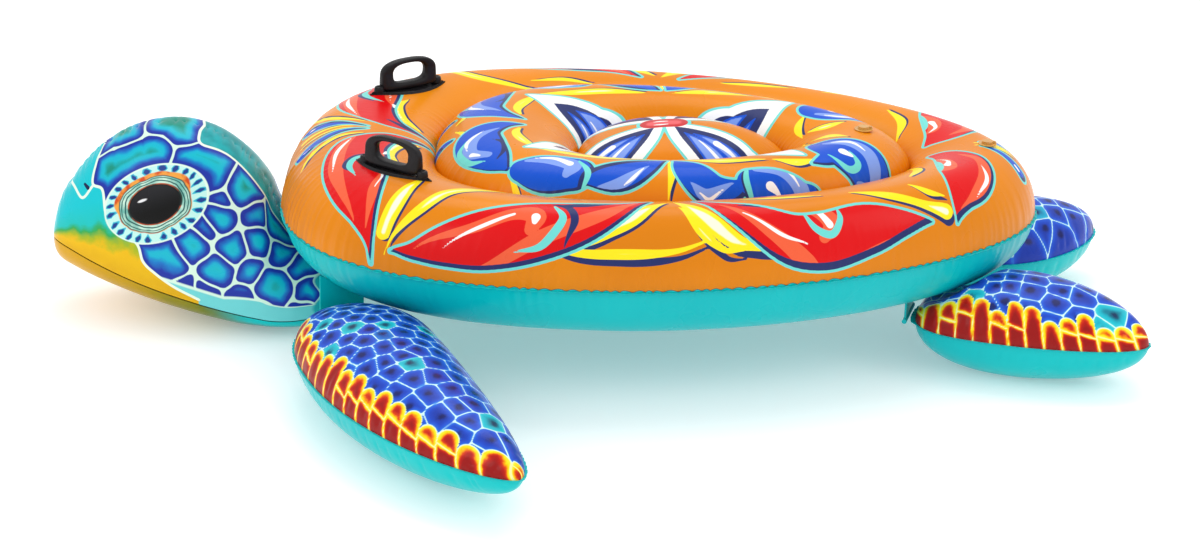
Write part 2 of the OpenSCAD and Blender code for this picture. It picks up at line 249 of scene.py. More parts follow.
# ---- materials ----
def colour(code):
    """An sRGB hex code as a linear RGBA colour."""
    parts = [int(code[k:k + 2], 16) / 255 for k in (0, 2, 4)]
    return tuple(c / 12.92 if c <= 0.04045 else ((c + 0.055) / 1.055) ** 2.4 for c in parts) + (1,)


class Paint:
    """A vinyl material whose colour is built from layers, one over another, on the base.

    A colour is given as an sRGB hex code or as a node's output."""

    def __init__(self, name, roughness=0.3, coat=0.08):
        self.material = bpy.data.materials.new(name)
        self.material.use_nodes = True
        self.nodes = self.material.node_tree.nodes
        self.links = self.material.node_tree.links
        self.shader = self.nodes["Principled BSDF"]
        self.shader.inputs["Roughness"].default_value = roughness
        self.base = None
        self.shader.inputs["Coat Weight"].default_value = coat
        self.shader.inputs["Coat Roughness"].default_value = 0.12
        self.shader.inputs["Specular IOR Level"].default_value = 0.16
        self.place = self.nodes.new("ShaderNodeTexCoord").outputs["Object"]

    def attribute(self, key):
        node = self.nodes.new("ShaderNodeAttribute")
        node.attribute_name = key
        return node.outputs["Fac"]

    def set(self, socket, value):
        if isinstance(value, bpy.types.NodeSocket):
            self.links.new(value, socket)
        elif isinstance(value, str):
            socket.default_value = colour(value)
        else:
            socket.default_value = value

    def math(self, operation, *values):
        node = self.nodes.new("ShaderNodeMath")
        node.operation = operation
        for socket, value in zip(node.inputs, values):
            self.set(socket, value)
        return node.outputs[0]

    def noise(self, scale, detail=3):
        node = self.nodes.new("ShaderNodeTexNoise")
        self.links.new(self.place, node.inputs["Vector"])
        node.inputs["Scale"].default_value = scale
        node.inputs["Detail"].default_value = detail
        return node.outputs["Fac"]

    def stir(self, value, noise, size):
        """The value, moved by the noise by up to half of size either way."""
        return self.math("ADD", value, self.math("MULTIPLY", self.math("SUBTRACT", noise, 0.5), size))

    def squares(self, a, b):
        """The two values squared and added."""
        return self.math("ADD", self.math("MULTIPLY", a, a), self.math("MULTIPLY", b, b))

    def band(self, value, low, high, at_low=0, at_high=1):
        """Runs from at_low to at_high as value goes from low to high."""
        node = self.nodes.new("ShaderNodeMapRange")
        node.interpolation_type = "SMOOTHSTEP"
        for socket, v in zip(node.inputs, (value, low, high, at_low, at_high)):
            self.set(socket, v)
        return node.outputs[0]

    def inside(self, distance, edge=0, soft=0.35):
        """One where distance is below edge, with a soft edge that many millimetres wide."""
        return self.band(distance, edge - soft, edge + soft, 1, 0)

    def mix(self, factor, below, above):
        node = self.nodes.new("ShaderNodeMix")
        node.data_type = "RGBA"
        self.set(node.inputs["Factor"], factor)
        self.set(node.inputs["A"], below)
        self.set(node.inputs["B"], above)
        return node.outputs["Result"]

    def cover(self, distance, shade, edge=0, soft=0.35):
        """Lays a colour over the base where distance is below edge."""
        self.base = self.mix(self.inside(distance, edge, soft), self.base, shade)

    def two_tone(self, noise, first, second, low=0.35, high=0.65):
        return self.mix(self.band(noise, low, high), first, second)

    def ramp(self, value, stops):
        """A colour ramp; stops give the colour's hex code at each value."""
        node = self.nodes.new("ShaderNodeValToRGB")
        low, high = min(stops), max(stops)
        spots = node.color_ramp.elements
        while len(spots) < len(stops):
            spots.new(1)
        for spot, (at, code) in zip(spots, stops.items()):
            spot.position = (at - low) / (high - low)
            spot.color = colour(code)
        scaled = self.math("DIVIDE", self.math("SUBTRACT", value, low), high - low)
        self.links.new(scaled, node.inputs["Fac"])
        return node.outputs["Color"]

    def finish(self, wrinkle=0.03, wrinkle_scale=110):
        """Joins the base, a faint uneven gloss and the fine unevenness of thin sheet."""
        self.set(self.shader.inputs["Base Color"], self.base)
        rough = self.shader.inputs["Roughness"]
        gloss = self.band(self.noise(9), 0.3, 0.7, rough.default_value - 0.05, rough.default_value + 0.06)
        self.links.new(gloss, rough)
        bump = self.nodes.new("ShaderNodeBump")
        bump.inputs["Strength"].default_value = wrinkle
        bump.inputs["Distance"].default_value = 0.004
        self.links.new(self.noise(wrinkle_scale, 4), bump.inputs["Height"])
        self.links.new(bump.outputs["Normal"], self.shader.inputs["Normal"])
        return self.material


ORANGE = "E68800"
ORANGE_DEEP = "DA7E00"
YELLOW = "FFE61A"
RED = "DC0006"
RED_GLOW = "F0603A"
BLUE = "004FCC"
PERIWINKLE = "7C9CE8"
NAVY = "232E66"
AQUA = "6ED8D0"
WHITE = "F6F6F4"
TEAL = "00C2C2"


def shell_print_material():
    """Orange vinyl printed with scroll strokes: shadow, yellow, outline, red and blue, highlights."""
    paint = Paint("printed_shell_vinyl")
    layer = {key: paint.attribute(key) for key in SHELL_LAYERS}
    paint.base = paint.two_tone(paint.noise(3), ORANGE, ORANGE_DEEP)
    paint.cover(layer["shadow"], NAVY)
    paint.cover(layer["yellow"], YELLOW)
    core = paint.math("ADD", layer["yellow"], paint.math("MULTIPLY", paint.noise(14), 8))
    paint.cover(core, "FFFBD8", -4.6, 1.6)
    outline = paint.math("MINIMUM", layer["red"], layer["blue"])
    outline = paint.math("MINIMUM", outline, layer["petal"])
    outline = paint.math("MINIMUM", outline, paint.math("SUBTRACT", layer["button"], 1))
    paint.cover(outline, AQUA, 4.5)
    paint.cover(layer["petal"], WHITE)
    for key, shade, glow in (("red", RED, RED_GLOW), ("blue", BLUE, PERIWINKLE)):
        paint.cover(layer[key], NAVY)
        fill = paint.math("MAXIMUM", layer[key], layer[key + "_fill"])
        paint.cover(fill, shade)
        paint.cover(paint.math("MAXIMUM", fill, layer["glow"]), glow, 0, 0.5)
    # small strokes stay inside the printed forms
    within = {key: paint.math("MAXIMUM", layer[key], outline) for key in ("navy", "hook", "white")}
    paint.cover(within["navy"], NAVY)
    paint.cover(layer["leaf"], BLUE)
    paint.cover(layer["leaf"], PERIWINKLE, -4, 1.5)
    paint.cover(within["hook"], AQUA)
    button = paint.math("ADD", layer["button"], paint.math("MULTIPLY", paint.noise(25), 3))
    paint.cover(layer["button"], "C81018")
    paint.cover(button, "E8555A", -9, 3)
    paint.cover(within["white"], WHITE)
    edge = paint.attribute("edge")
    paint.cover(edge, "2C4A4C", 1.2, 0.3)
    paint.cover(edge, TEAL, 0.3, 0.3)
    return paint.finish()


def teal_material():
    paint = Paint("teal_vinyl")
    paint.base = paint.two_tone(paint.noise(2.5), TEAL, "00B6BA", 0.3, 0.7)
    return paint.finish()


def plastic_material():
    """Black moulded soft plastic with a fine texture."""
    paint = Paint("handle_plastic", roughness=0.34, coat=0.12)
    paint.base = paint.two_tone(paint.noise(30), "131214", "1C1A1D", 0.3, 0.7)
    return paint.finish(0.2, 900)


def clear_material():
    """Clear vinyl of the valves, which takes up the orange round it."""
    paint = Paint("clear_vinyl", roughness=0.15, coat=0.2)
    paint.shader.inputs["Transmission Weight"].default_value = 0.3
    paint.base = paint.two_tone(paint.noise(60), "F0B964", "E6A850", 0.3, 0.7)
    return paint.finish(0.01, 40)


# ---- shell ----
def shell_edge(a):
    ahead = np.cos(a) < 0
    e = 2 / np.where(ahead, FRONT_POWER, TAIL_POWER)
    x = np.where(ahead, SHELL_FRONT, SHELL_TAIL) * signed_power(np.cos(a), e)
    return x, SHELL_HALF_WIDTH * signed_power(np.sin(a), e)


def swell(s, start, end, z_start, z_crown, z_end):
    u = (s - start) / (end - start)
    rise = z_start + (z_crown - z_start) * arch(np.clip(1 - u / CROWN_SHARE, 0, 1))
    fall = z_end + (z_crown - z_end) * arch(np.clip((u - CROWN_SHARE) / (1 - CROWN_SHARE), 0, 1))
    return np.where(u < CROWN_SHARE, rise, fall)


def shell_height(s, groove, outer, inner, dome):
    middle = groove + (dome - groove) * arch(np.clip(s / INNER_GROOVE, 0, 1))
    ring = swell(s, INNER_GROOVE, OUTER_GROOVE, groove, inner, groove)
    rim = swell(s, OUTER_GROOVE, 1, groove, outer, SEAM_Z)
    return np.where(s >= OUTER_GROOVE, rim, np.where(s >= INNER_GROOVE, ring, middle))


def top_height(s):
    return shell_height(s, TOP_GROOVE_Z, OUTER_CROWN_Z, INNER_CROWN_Z, DOME_CROWN_Z)


def belly_height(s):
    return shell_height(s, BELLY_GROOVE_Z, BELLY_Z, BELLY_Z, BELLY_Z)


def shell_share(x, y):
    """How far out from the rings' centre a place lies: 1 at the seam."""
    low = np.full(np.shape(x), 1e-4)
    high = np.full(np.shape(x), 1.5)
    for _ in range(40):
        s = (low + high) / 2
        ex = (x - RING_CENTRE - RING_DRIFT * np.maximum(0, 1 - s)) / s + RING_CENTRE
        n = np.where(ex < 0, FRONT_POWER, TAIL_POWER)
        out = (np.abs(ex) / np.where(ex < 0, SHELL_FRONT, SHELL_TAIL)) ** n
        out = out + np.abs(y / s / SHELL_HALF_WIDTH) ** n > 1
        low = np.where(out, s, low)
        high = np.where(out, high, s)
    return (low + high) / 2


def shell_lift(spine):
    """Lifts plan strokes (x, y, radius) onto the shell's top."""
    z = top_height(shell_share(spine[:, 0], spine[:, 1]))
    return np.column_stack((spine[:, 0], spine[:, 1], z, spine[:, 2]))


def even_angles(count):
    """Angles whose points are evenly spaced round the shell's seam, and the seam's length."""
    a = np.linspace(-math.pi, math.pi, 8001)
    x, y = shell_edge(a)
    run = np.concatenate(((0,), np.cumsum(np.hypot(np.diff(x), np.diff(y)))))
    return np.interp(np.linspace(0, run[-1], count, endpoint=False), run, a), run[-1]


def ring_shares(start, end, rise_steps, fall_steps):
    """Shares across one ring, evenly spaced round its two quarter arches."""
    up = start + (end - start) * CROWN_SHARE * (1 - np.cos(np.linspace(0, math.pi / 2, rise_steps)))
    down = np.sin(np.linspace(0, math.pi / 2, fall_steps))[1:]
    return np.concatenate((up, end - (end - start) * (1 - CROWN_SHARE) * (1 - down)))


def shell_grid(shares, angles, height):
    s = shares[:, None]
    x, y = shell_edge(angles[None, :])
    px = RING_CENTRE + RING_DRIFT * (1 - s) + s * (x - RING_CENTRE)
    return np.stack(np.broadcast_arrays(px, s * y, height(s)), -1)


def pucker_shell(grid, shares, angles, length):
    """Short folds at the welded grooves and longer ones at the seam, deepest round the front."""
    run = np.arange(len(angles)) / len(angles) * length
    front = np.exp(-((np.abs(angles) - math.pi) / 0.75) ** 2)
    s = shares[:, None]
    seam = creases(run, length, 210, 4.2, 11, 1.5) * (0.7 + 1.6 * front)
    depth = seam[None, :] * np.exp(-((1 - s) / (0.035 + 0.03 * front)) ** 1.3)
    for k, groove in enumerate((OUTER_GROOVE, INNER_GROOVE)):
        folds = creases(run, length, 150, 5.5, 21 + k, 1.5)
        depth = depth + folds[None, :] * np.exp(-np.abs(s - groove) / 0.028)
    return grid + grid_normals(grid, True) * depth[..., None]


RING_MOTIFS = {
    "red": [
        [(-352, -333, 1), (-366, -296, 22), (-380, -240, 44), (-388, -170, 52), (-384, -98, 42),
         (-350, -44, 22), (-312, -24, 8), (-272, -12, 1)],
        [(-322, -344, 1), (-284, -358, 14), (-236, -368, 32), (-178, -374, 46), (-112, -373, 48),
         (-42, -364, 38), (18, -344, 20), (68, -308, 1)],
        [(134, -300, 1), (196, -328, 20), (270, -338, 36), (336, -322, 44), (402, -290, 40),
         (456, -262, 22), (508, -234, 1)],
        [(552, -208, 1), (562, -176, 24), (574, -136, 44), (574, -94, 44), (556, -54, 26), (526, -26, 3)],
    ],
    "blue": [
        [(-380, -6, 1), (-420, -20, 6), (-462, -42, 12), (-480, -56, 13)],
        [(612, -10, 1), (646, -24, 7), (676, -40, 11)],
    ],
    "yellow": [
        [(-278, -232, 1), (-292, -262, 8), (-314, -300, 14), (-334, -328, 12)],
        [(-332, -341, 1), (-276, -322, 9), (-216, -280, 10), (-140, -262, 4), (-112, -262, 1)],
        [(-50, -390, 1), (-2, -376, 11), (44, -354, 14), (92, -312, 1)],
        [(-110, -382, 1), (-40, -390, 6), (40, -389, 8), (110, -380, 4), (170, -362, 1)],
        [(102, -306, 1), (138, -338, 13), (184, -358, 14), (226, -356, 7), (286, -342, 1)],
        [(110, -330, 1), (142, -360, 8), (176, -368, 5), (210, -362, 1)],
        [(374, -246, 1), (432, -238, 7), (492, -226, 7), (532, -212, 13)],
        [(470, -200, 1), (502, -204, 6), (530, -196, 1)],
        [(-384, -28, 1), (-426, -46, 5), (-462, -84, 5), (-478, -116, 1)],
        [(-296, -36, 2), (-330, -70, 11), (-338, -118, 9), (-322, -156, 1)],
        [(-402, -4, 1), (-446, -8, 4), (-484, -12, 5)],
        [(598, -6, 1), (640, -4, 5), (668, -6, 1)],
        [(476, -166, 1), (496, -118, 8), (484, -72, 1)],
        [(-120, -282, 1), (-66, -292, 5), (-16, -284, 1)],
        [(196, -286, 1), (262, -276, 5), (330, -262, 1)],
    ],
    "glow": [
        [(-388, -22, 1), (-412, -88, 9), (-418, -172, 13), (-404, -236, 8), (-380, -296, 1)],
        [(-338, -116, 9), (-348, -160, 14), (-338, -214, 9), (-352, -262, 10), (-362, -312, 1)],
        [(-288, -356, 1), (-200, -362, 8), (-136, -352, 10), (-104, -356, 15), (-112, -372, 9)],
        [(-270, -372, 1), (-170, -388, 8), (-80, -376, 12), (0, -352, 10), (50, -316, 1)],
        [(172, -316, 1), (250, -340, 10), (330, -336, 15), (400, -304, 11), (470, -262, 1)],
        [(262, -310, 1), (312, -300, 9), (346, -306, 15), (334, -320, 9)],
        [(556, -196, 1), (584, -164, 12), (604, -118, 13), (598, -74, 8), (566, -46, 1)],
        [(522, -140, 1), (546, -112, 12), (544, -78, 9), (530, -62, 1)],
    ],
    "navy": [
        [(-352, -50, 2), (-318, -28, 6), (-276, -14, 1)],
        [(-70, -338, 2), (-20, -330, 7), (52, -308, 1)],
        [(200, -314, 1), (250, -306, 6), (296, -290, 1)],
        [(-388, -202, 1), (-402, -176, 6), (-394, -146, 4), (-374, -128, 1)],
        [(-62, -388, 1), (-46, -364, 6), (-56, -342, 5), (-80, -334, 1)],
    ],
    "hook": [
        [(-384, -214, 1), (-396, -180, 5), (-388, -150, 5), (-362, -130, 1)],
        [(-136, -386, 1), (-92, -384, 6), (-64, -362, 6), (-76, -340, 2)],
        [(296, -306, 1), (318, -318, 5), (346, -314, 6), (358, -298, 5), (352, -286, 1)],
        [(504, -160, 1), (528, -130, 5), (532, -92, 5), (520, -62, 1)],
    ],
    "white": [
        [(-402, -60, 1), (-420, -118, 3.5), (-422, -180, 1)],
        [(-340, -112, 6), (-346, -122, 2)],
        [(-352, -140, 1), (-352, -180, 3), (-342, -226, 2), (-352, -258, 1)],
        [(-242, -368, 1), (-184, -362, 3), (-136, -352, 2)],
        [(-104, -358, 7), (-106, -364, 4)],
        [(206, -328, 1), (262, -338, 3), (310, -332, 1)],
        [(286, -304, 1), (318, -300, 3.5), (342, -308, 6)],
        [(586, -162, 1), (606, -122, 4), (600, -92, 1)],
        [(544, -104, 6), (548, -82, 3), (536, -66, 1)],
        [(-470, -50, 3), (-476, -54, 3)],
        [(664, -34, 3), (670, -38, 3)],
    ],
}

INNER_MOTIFS = {
    "blue": [
        [(-286, -36, 4), (-268, -40, 11), (-244, -46, 5)],
        [(-128, -14, 1), (-166, -30, 16), (-198, -64, 34), (-196, -112, 40), (-176, -152, 28),
         (-152, -186, 5)],
        [(-126, -196, 22), (-90, -206, 38), (-50, -212, 34)],
        [(-30, -224, 12), (20, -220, 30), (58, -202, 24), (96, -176, 1)],
        [(108, -176, 1), (132, -206, 24), (162, -226, 27), (200, -220, 18), (220, -204, 4)],
        [(228, -206, 24), (268, -202, 38), (312, -192, 30), (342, -186, 3)],
        [(350, -92, 28), (382, -94, 46), (416, -104, 46), (434, -126, 32), (400, -160, 8)],
        [(326, -146, 1), (350, -128, 13), (372, -104, 20)],
    ],
    "yellow": [
        [(-104, -136, 1), (-58, -150, 8), (4, -166, 9), (76, -166, 1)],
        [(-100, -138, 1), (-128, -96, 9), (-140, -58, 7), (-132, -28, 1)],
        [(116, -166, 1), (176, -170, 9), (252, -156, 1)],
        [(262, -154, 1), (300, -152, 8), (336, -134, 1)],
        [(98, -172, 1), (104, -206, 7), (98, -244, 1)],
        [(-150, -190, 1), (-130, -228, 6), (-96, -250, 1)],
        [(332, -24, 1), (362, -24, 9), (392, -36, 1)],
        [(-240, -12, 1), (-222, -50, 6), (-238, -92, 1)],
        [(330, -72, 1), (318, -44, 7), (324, -16, 1)],
    ],
    "glow": [
        [(-166, -42, 1), (-206, -78, 11), (-210, -122, 12), (-182, -142, 7)],
        [(-122, -178, 3), (-84, -182, 11), (-50, -198, 14), (-60, -216, 6)],
        [(-14, -236, 1), (28, -230, 10), (68, -200, 1)],
        [(132, -224, 1), (158, -232, 10), (200, -212, 1)],
        [(232, -186, 3), (276, -176, 11), (314, -190, 13), (300, -208, 5)],
        [(350, -74, 4), (386, -66, 11), (422, -82, 14), (430, -114, 11), (402, -132, 4)],
    ],
    "navy": [
        [(-44, -244, 1), (-28, -216, 6), (10, -196, 6), (84, -174, 1)],
        [(376, -142, 1), (412, -144, 6), (442, -118, 5), (448, -90, 1)],
        [(-176, -92, 1), (-158, -108, 6), (-158, -140, 4), (-168, -160, 1)],
        [(226, -178, 1), (216, -204, 5), (232, -232, 1)],
        [(-268, -30, 1), (-258, -44, 3), (-264, -54, 1)],
    ],
    "hook": [
        [(-186, -156, 1), (-212, -144, 6), (-228, -108, 5), (-216, -76, 1)],
        [(-38, -244, 1), (-26, -216, 5), (-40, -188, 2)],
        [(222, -178, 1), (220, -206, 5), (240, -230, 1)],
        [(352, -116, 1), (384, -128, 6), (402, -112, 6), (388, -92, 1)],
    ],
    "white": [
        [(-192, -52, 1), (-216, -84, 4), (-216, -112, 1)],
        [(-208, -128, 5), (-194, -138, 2)],
        [(-108, -174, 1), (-78, -178, 4), (-54, -194, 6)],
        [(242, -176, 1), (276, -170, 4), (304, -184, 1)],
        [(258, -200, 8), (272, -202, 3)],
        [(360, -68, 1), (392, -62, 4), (416, -78, 1)],
        [(378, -98, 8), (392, -102, 3)],
        [(434, -108, 1), (426, -128, 4), (408, -138, 1)],
        [(30, -234, 1), (44, -224, 3), (60, -206, 1)],
        [(146, -232, 1), (162, -234, 3), (184, -222, 1)],
    ],
}

FLOWER_X = 97


def with_opposite(strokes):
    """Strokes, and the same ones turned over across the flower's middle."""
    return strokes + [[(2 * FLOWER_X - x, y, r) for x, y, r in stroke] for stroke in strokes]


FLOWER_MOTIFS = {
    "petal": [
        [(104, -12, 6), (142, -48, 34), (192, -76, 50), (244, -96, 38), (290, -118, 14), (314, -128, 1)],
        [(90, -12, 6), (52, -48, 34), (2, -76, 50), (-50, -96, 38), (-98, -118, 14), (-124, -130, 1)],
    ],
    "navy": with_opposite([[(114, -20, 1), (148, -50, 22), (194, -76, 36), (238, -92, 24), (274, -106, 1)]]),
    "leaf": with_opposite([
        [(128, -38, 1), (160, -68, 13), (198, -94, 17), (238, -104, 1)],
        [(142, -40, 1), (178, -56, 9), (216, -74, 11), (252, -94, 1)],
    ]),
    "button": [[(78, 0, 20), (116, 0, 20)]],
    "white": with_opposite([
        [(152, -56, 1), (182, -80, 3), (214, -96, 1)],
        [(180, -56, 6), (206, -68, 3), (228, -82, 1)],
    ]) + [[(80, -7, 1), (92, -8, 2.5), (104, -7, 1)]],
}

SHELL_LAYERS = ("yellow", "shadow", "red", "red_fill", "blue", "blue_fill", "petal", "glow", "navy", "leaf",
                "hook", "button", "white")
# Copies of strokes: a dark copy stepped out from under the yellow, and a bright one that leaves a dark edge
STEPPED_COPIES = (("shadow", "yellow", 4, -3), ("red_fill", "red", -3.5, 3), ("blue_fill", "blue", -3.5, 3))
COPY_WIDTH = 0.96


def shell_layers(points, *motif_sets):
    """Every print layer's distances."""
    merged = {key: [] for key in SHELL_LAYERS}
    for motifs in motif_sets:
        for key, strokes in motifs.items():
            merged[key] += strokes
    for copy, key, step_x, step_y in STEPPED_COPIES:
        merged[copy] = [[(x + step_x, y + step_y, r * COPY_WIDTH) for x, y, r in s] for s in merged[key]]
    return paint_layers(points, merged, shell_lift)


def scalloped_edge(grid, length, pitch, tall):
    """How far each place lies above the line where the print ends, which runs in small scallops."""
    rng = np.random.default_rng(17)
    run = np.arange(grid.shape[1]) / grid.shape[1] * length
    wander = rng.uniform(-0.5, 0.5, 120)
    phase = run / pitch + np.interp(run, np.linspace(0, length, 121), np.append(wander, wander[0]))
    steps = np.linalg.norm(np.diff(grid, axis=0), axis=2)
    height = np.cumsum(np.vstack((steps, np.zeros((1, grid.shape[1]))))[::-1], axis=0)[::-1]
    return height - tall * np.abs(np.sin(math.pi * phase))[None, :]


def make_shell(print_vinyl, teal):
    angles, length = even_angles(1150)
    rings = (
        ("shell_outer_ring", ring_shares(OUTER_GROOVE, 1, 36, 50), (RING_MOTIFS,)),
        ("shell_inner_ring", ring_shares(INNER_GROOVE, OUTER_GROOVE, 36, 34), (INNER_MOTIFS, FLOWER_MOTIFS)),
        ("shell_dome", np.sin(np.linspace(0.01, math.pi / 2, 46)) * INNER_GROOVE, (FLOWER_MOTIFS,)),
    )
    for name, shares, motifs in rings:
        grid = pucker_shell(shell_grid(shares, angles, top_height), shares, angles, length)
        layers = shell_layers(grid.reshape(-1, 3), *motifs)
        if name == "shell_outer_ring":
            layers["edge"] = scalloped_edge(grid, length, 17, 3.2)
        else:
            layers["edge"] = np.full(grid.shape[:2], FAR)
        piece = grid_piece(name, grid, "shell", print_vinyl, layers, closed=True)
        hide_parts("shell_top_sheet")

    shares = np.concatenate((
        np.sin(np.linspace(0.02, math.pi / 2, 20)) * INNER_GROOVE,
        ring_shares(INNER_GROOVE, OUTER_GROOVE, 18, 18)[1:],
        ring_shares(OUTER_GROOVE, 1, 24, 34)[1:]))
    angles, length = even_angles(760)
    grid = pucker_shell(shell_grid(shares, angles, belly_height), shares, angles, length)
    piece = grid_piece("shell_underside", grid, "shell", teal, closed=True, flip=True)
    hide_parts("shell_bottom_sheet")


# Cross-section of a welded lip: share of its reach, and share of half its thickness
LIP_SECTION = ((-0.4, 1), (0, 1), (0.5, 1), (0.95, 0.7), (1, 0), (0.95, -0.7), (0.5, -1), (0, -1), (-0.4, -1))


def seam_strip(name, line, outward, width, thick, body, material, seed, pitch, least=0):
    """A welded lip round a closed seam, with a scalloped edge that ripples a little.

    least is the smallest reach allowed, one value or one for each place on the line."""
    run = np.concatenate(((0,), np.cumsum(np.linalg.norm(np.diff(line, axis=0), axis=1))))
    rng = np.random.default_rng(seed)
    phase = run / pitch + np.interp(run, np.linspace(0, run[-1], 40), rng.uniform(-0.6, 0.6, 40))
    reach = np.maximum(width * (0.72 + 0.28 * np.abs(np.cos(math.pi * phase))), least)
    ripple = thick * 0.8 * np.sin(2 * math.pi * phase + 1)
    rows = []
    for share, side in LIP_SECTION:
        row = line + outward * (reach * share)[:, None]
        row[:, 2] += side * thick / 2 + ripple * max(0, share)
        rows.append(row)
    return grid_piece(name, np.stack(rows), body, material, closed=True, flip=True)


def level_seam(x, y, z):
    """The points of a closed seam at one height, and the level directions out from it."""
    line = np.stack((x, y, np.full(len(x), float(z))), -1)
    tangent = np.roll(line, -1, 0) - np.roll(line, 1, 0)
    return line, unit(np.stack((tangent[:, 1], -tangent[:, 0], 0 * x), -1))


def make_shell_seam(teal):
    angles, _ = even_angles(1500)
    x, y = shell_edge(angles)
    line, outward = level_seam(x, y, SEAM_Z)
    strip = seam_strip("shell_seam", line, outward, SHELL_LIP, 1.4, "shell", teal, 5, 17)


# ---- flippers ----
def flipper_share(shape, u):
    """How far u lies from the widest place towards the tip or the root, and the outline's power."""
    length, widest = shape[3], shape[3] * shape[6]
    tip = u > widest
    return (u - widest) / np.where(tip, length - widest, widest), np.where(tip, TIP_POWER, shape[7])


def flipper_height(shape, u, v):
    """Share of the way out to the seam, at a place given from the flipper's root."""
    share, n = flipper_share(shape, u)
    return (np.abs(share) ** n + np.abs(2 * v / shape[4]) ** n) ** (1 / n)


def flipper_half_width(shape, u):
    share, n = flipper_share(shape, u)
    return shape[4] / 2 * np.maximum(0, 1 - np.abs(share) ** n) ** (1 / n)


def flipper_plan(shape, u, v):
    turn = math.radians(shape[2])
    t = u / shape[3]
    v = v - 4 * shape[5] * t * (1 - t)
    return (shape[0] + u * math.cos(turn) - v * math.sin(turn),
            shape[1] + u * math.sin(turn) + v * math.cos(turn))


def flipper_surface(shape, u, v, side):
    """Points on a flipper's top (side 1) or underside (side -1)."""
    out = np.clip(flipper_height(shape, u, v), 0, 1)
    x, y = flipper_plan(shape, u, v)
    if side > 0:
        z = FLIPPER_SEAM_Z * (1 + arch(out))
        share = shell_share(x, y)
        roof = np.where(share < 1, belly_height(np.minimum(share, 1)) - FLIPPER_GAP, 999)
        z = -8 * np.logaddexp(-z / 8, -roof / 8)
        z = np.maximum(z, FLIPPER_SEAM_Z)
    else:
        z = np.maximum(FLIPPER_SEAM_Z - (FLIPPER_SEAM_Z + FLIPPER_SINK) * arch(out), 0)
    return np.stack((x, y, z), -1)


def flipper_rows(shape, rows, cols):
    """u and v over the flipper: rows run from root to tip, columns from edge to edge."""
    widest = shape[3] * shape[6]
    back = widest * (1 - np.cos(np.linspace(0, math.pi / 2, rows // 3)))
    ahead = widest + (shape[3] - widest) * np.sin(np.linspace(0, math.pi / 2, rows - rows // 3 + 1))[1:]
    u = np.concatenate((back, ahead))
    c = -np.cos(np.linspace(0, math.pi, cols))
    half = flipper_half_width(shape, u)
    return np.broadcast_to(u[:, None], (rows, cols)), half[:, None] * c[None, :]


def ripple(points, size, reach):
    """Moves points a little along slow waves, so that drawn lines wander."""
    x, y, z = (points / size).T
    waves = np.stack((
        np.sin(y + 1.7 * np.sin(0.8 * z)) + 0.6 * np.sin(2.3 * z + x),
        np.sin(x + 2.1 + 1.3 * np.sin(0.9 * z)) + 0.6 * np.sin(2.1 * x + 0.7),
        np.sin(x * 1.1 + 0.4 + 1.5 * np.sin(0.7 * y)) + 0.6 * np.sin(2.6 * x + 1.1 * y)), -1)
    return points + waves * reach


def cell_layers(points, sites, radii, plates, tones, rounding):
    """Distance to the nearest line between plates, distance to the plate's middle, and its tone.

    rounding is how softly the plates' corners are rounded."""
    border = np.empty(len(points))
    core = np.empty(len(points))
    tone = np.empty(len(points))
    for start in range(0, len(points), 4000):
        p = points[start:start + 4000]
        d2 = ((p[:, None] - sites[None]) ** 2).sum(-1)
        power = d2 - radii[None] ** 2
        best = power.argmin(1)
        rows = np.arange(len(p))
        apart = np.sqrt(((sites[best][:, None] - sites[None]) ** 2).sum(-1))
        edge = (power - power[rows, best][:, None]) / (2 * np.maximum(apart, 1))
        edge[plates[best][:, None] == plates[None]] = FAR
        rounded = rounding * (0.25 - np.log(np.exp(-np.clip(edge, 0, FAR) / rounding).sum(1)))
        border[start:start + 4000] = np.minimum(edge.min(1), np.maximum(rounded, 0))
        core[start:start + 4000] = np.sqrt(d2[rows, best])
        tone[start:start + 4000] = tones[plates[best]]
    return border, core, tone


